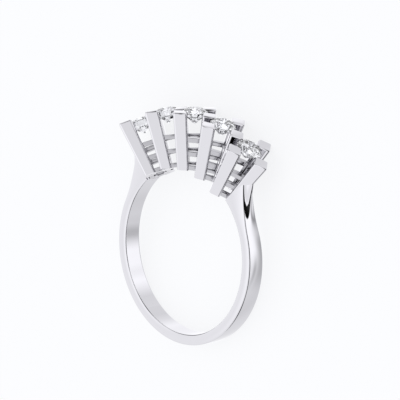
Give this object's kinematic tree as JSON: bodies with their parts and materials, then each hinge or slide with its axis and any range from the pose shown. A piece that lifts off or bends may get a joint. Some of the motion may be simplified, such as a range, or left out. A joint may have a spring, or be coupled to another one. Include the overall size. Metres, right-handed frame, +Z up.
{
  "type": "five-stone diamond ring",
  "caption": "Finger ring in polished white metal with a row of round brilliant-cut stones held between square corner posts and rails.",
  "frame": {"origin": "on the surface the ring rests on, under the middle of its bounding box, with the ring lying on its back", "axes": "+X along the row of stones, +Y from the palm side of the band to the middle stone, +Z up from the surface, close to the finger hole's axis"},
  "size_m": [0.0206, 0.0242, 0.006],
  "materials": {
    "white_gold": "mirror polished",
    "diamond": "cut and polished facets"
  },
  "bodies": {
    "root": {"band_and_setting": "white_gold", "diamond_1": "diamond", "diamond_2": "diamond", "diamond_3": "diamond", "diamond_4": "diamond", "diamond_5": "diamond"}
  },
  "joints": []
}
